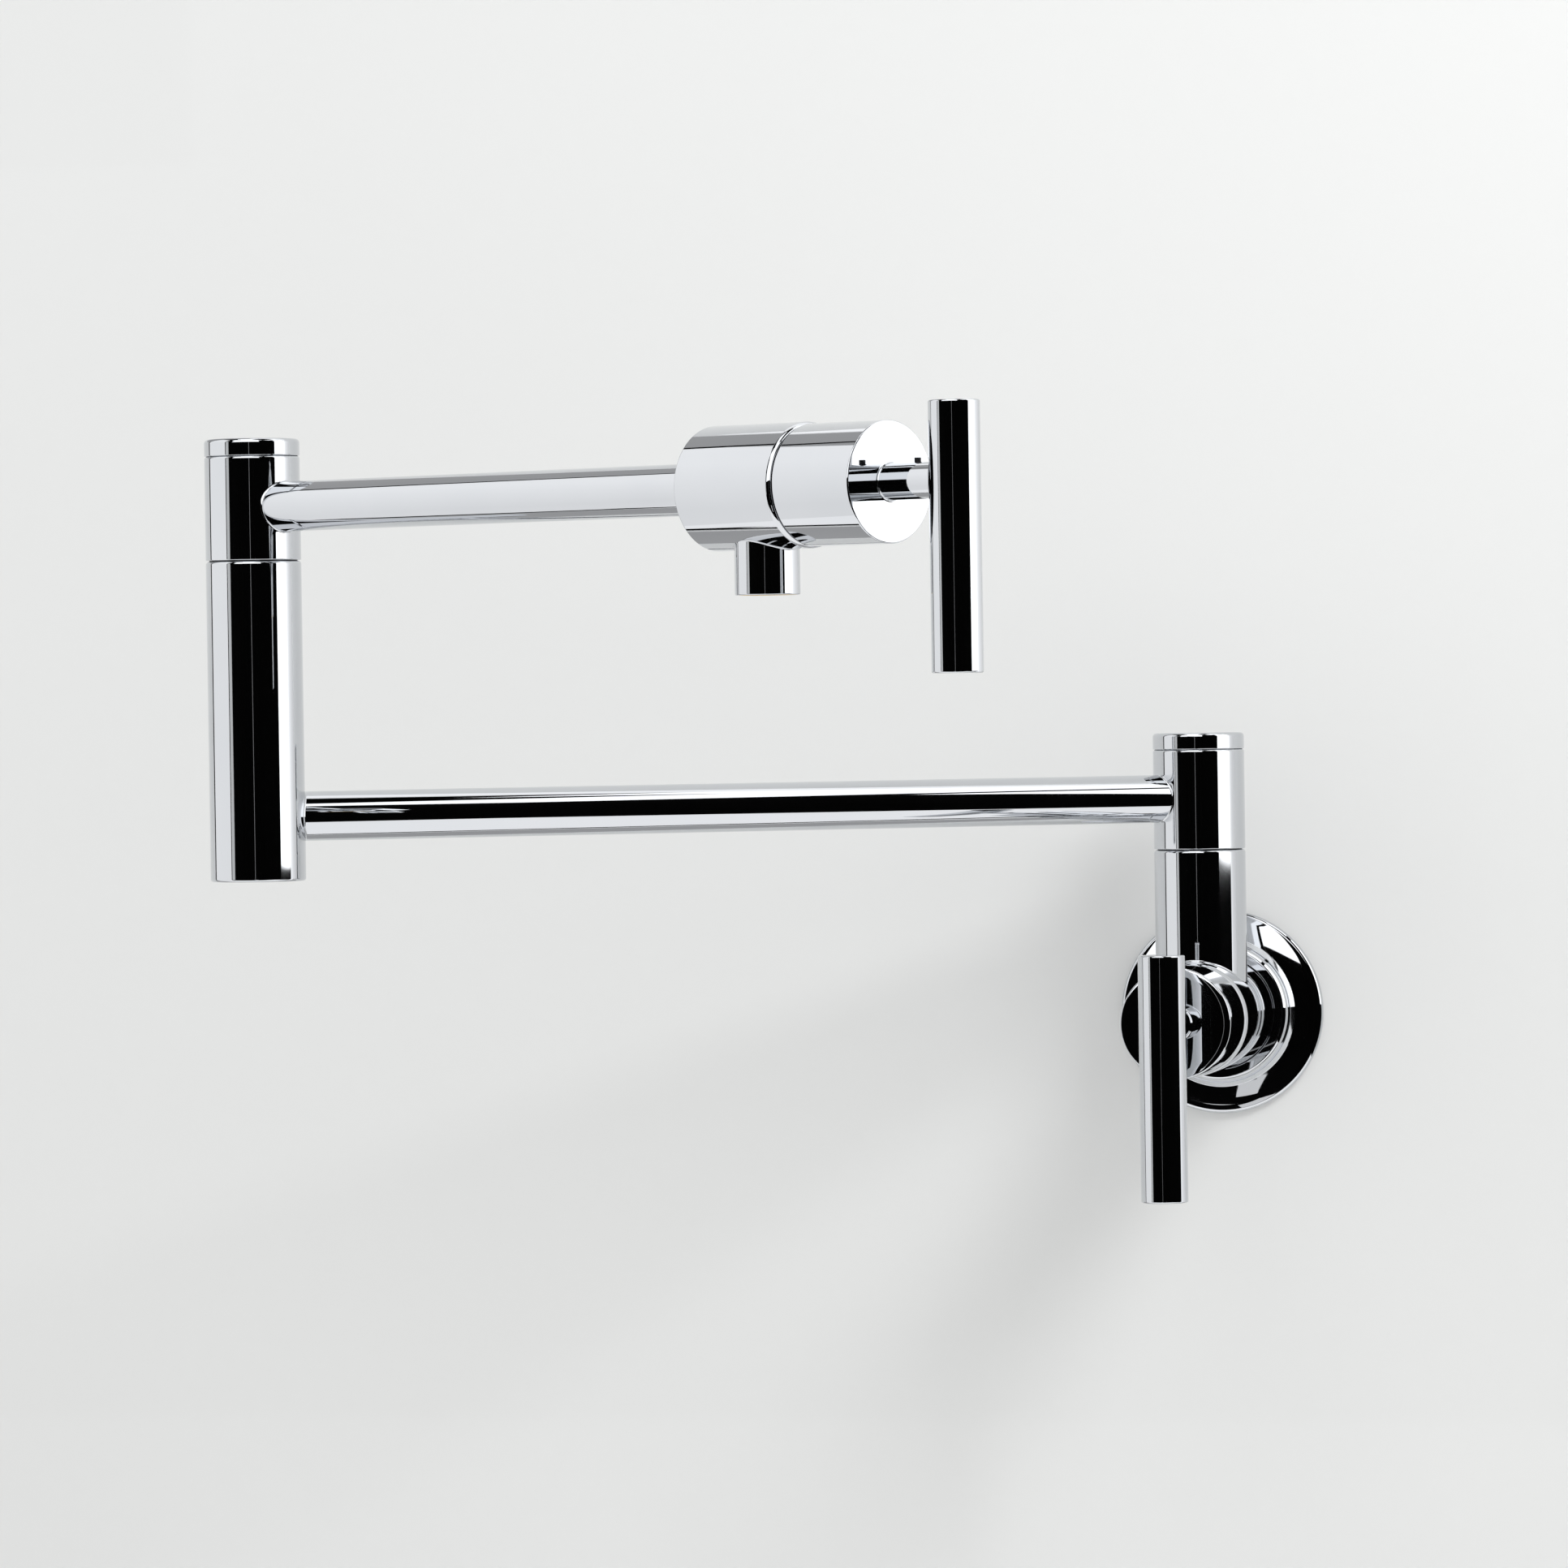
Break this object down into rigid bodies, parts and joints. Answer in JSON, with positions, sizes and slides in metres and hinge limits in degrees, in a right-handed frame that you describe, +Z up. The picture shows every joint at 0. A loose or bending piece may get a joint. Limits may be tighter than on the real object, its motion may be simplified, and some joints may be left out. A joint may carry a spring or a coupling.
{
  "type": "wall mounted pot filler",
  "caption": "Wall mounted double-jointed pot filler in polished chrome, with a stepped round wall flange, swinging arms, and a bar lever valve at the wall and at the spout.",
  "frame": {"origin": "centre of the threaded inlet at its mouth, in the plane of the wall", "axes": "+Y points into the wall along the inlet, +Z is up, +X is to the right seen from the front; the object stands out of the wall towards -Y"},
  "size_m": [0.3267, 0.3947, 0.2529],
  "materials": {
    "chrome": "polished chrome plate on brass",
    "brass": "machined brass",
    "steel": "stainless steel fasteners",
    "black_steel": "black oxide set screw",
    "ceramic": "lapped alumina",
    "rubber": "matt black seal rubber",
    "acetal": "white acetal",
    "bearing_plastic": "dark filled bearing plastic",
    "foam": "closed cell foam"
  },
  "bodies": {
    "wall_mount": {"wall_valve_body": "chrome", "wall_flange": "chrome", "flange_gasket": "foam", "flange_grip_ring": "rubber", "wall_cartridge_body": "brass", "wall_seat_gasket": "rubber", "wall_fixed_disc": "ceramic", "wall_bonnet_gasket": "rubber", "shoulder_spigot": "brass", "shoulder_seal_rings": "rubber", "shoulder_thrust_washer": "bearing_plastic", "shoulder_retaining_washer": "steel", "shoulder_retaining_screw": "steel"},
    "wall_handle": {"wall_handle_skirt": "chrome", "wall_handle_screw": "steel", "wall_handle_stem": "chrome", "wall_handle_bar": "chrome", "wall_handle_set_screw": "black_steel", "wall_spindle": "brass", "wall_spindle_seals": "rubber", "wall_spindle_clip": "steel", "wall_moving_disc": "ceramic"},
    "lower_arm": {"shoulder_hub": "chrome", "shoulder_cap": "chrome", "lower_arm_tube": "chrome", "elbow_post": "chrome", "elbow_spigot": "brass", "elbow_seal_rings": "rubber", "elbow_thrust_washer": "bearing_plastic", "elbow_retaining_washer": "steel", "elbow_retaining_screw": "steel"},
    "upper_arm": {"elbow_hub": "chrome", "elbow_cap": "chrome", "upper_arm_tube": "chrome", "spout_valve_body": "chrome", "outlet_spout": "chrome", "flow_straightener": "acetal", "flow_straightener_seal": "rubber", "spout_cartridge_body": "brass", "spout_seat_gasket": "rubber", "spout_fixed_disc": "ceramic", "spout_bonnet_gasket": "rubber"},
    "spout_handle": {"spout_handle_skirt": "chrome", "spout_handle_screw": "steel", "spout_handle_stem": "chrome", "spout_handle_bar": "chrome", "spout_handle_set_screw": "black_steel", "spout_spindle": "brass", "spout_spindle_seals": "rubber", "spout_spindle_clip": "steel", "spout_moving_disc": "ceramic"}
  },
  "joints": [
    {"name": "shoulder_swivel", "type": "hinge", "parent": "wall_mount", "child": "lower_arm", "pos_m": [0, -0.045, 0.05615], "axis": [0, 0, 1], "range_deg": [-33, 147]},
    {"name": "elbow_swivel", "type": "hinge", "parent": "lower_arm", "child": "upper_arm", "pos_m": [-0.27676, -0.22473, 0.15525], "axis": [0, 0, 1], "continuous": true},
    {"name": "wall_handle_turn", "type": "hinge", "parent": "wall_mount", "child": "wall_handle", "pos_m": [0, -0.0705, 0], "axis": [0, -1, 0], "range_deg": [0, 90]},
    {"name": "spout_handle_turn", "type": "hinge", "parent": "upper_arm", "child": "spout_handle", "pos_m": [-0.06619, -0.35631, 0.1724], "axis": [0.848, -0.5299, 0], "range_deg": [0, 90]}
  ]
}
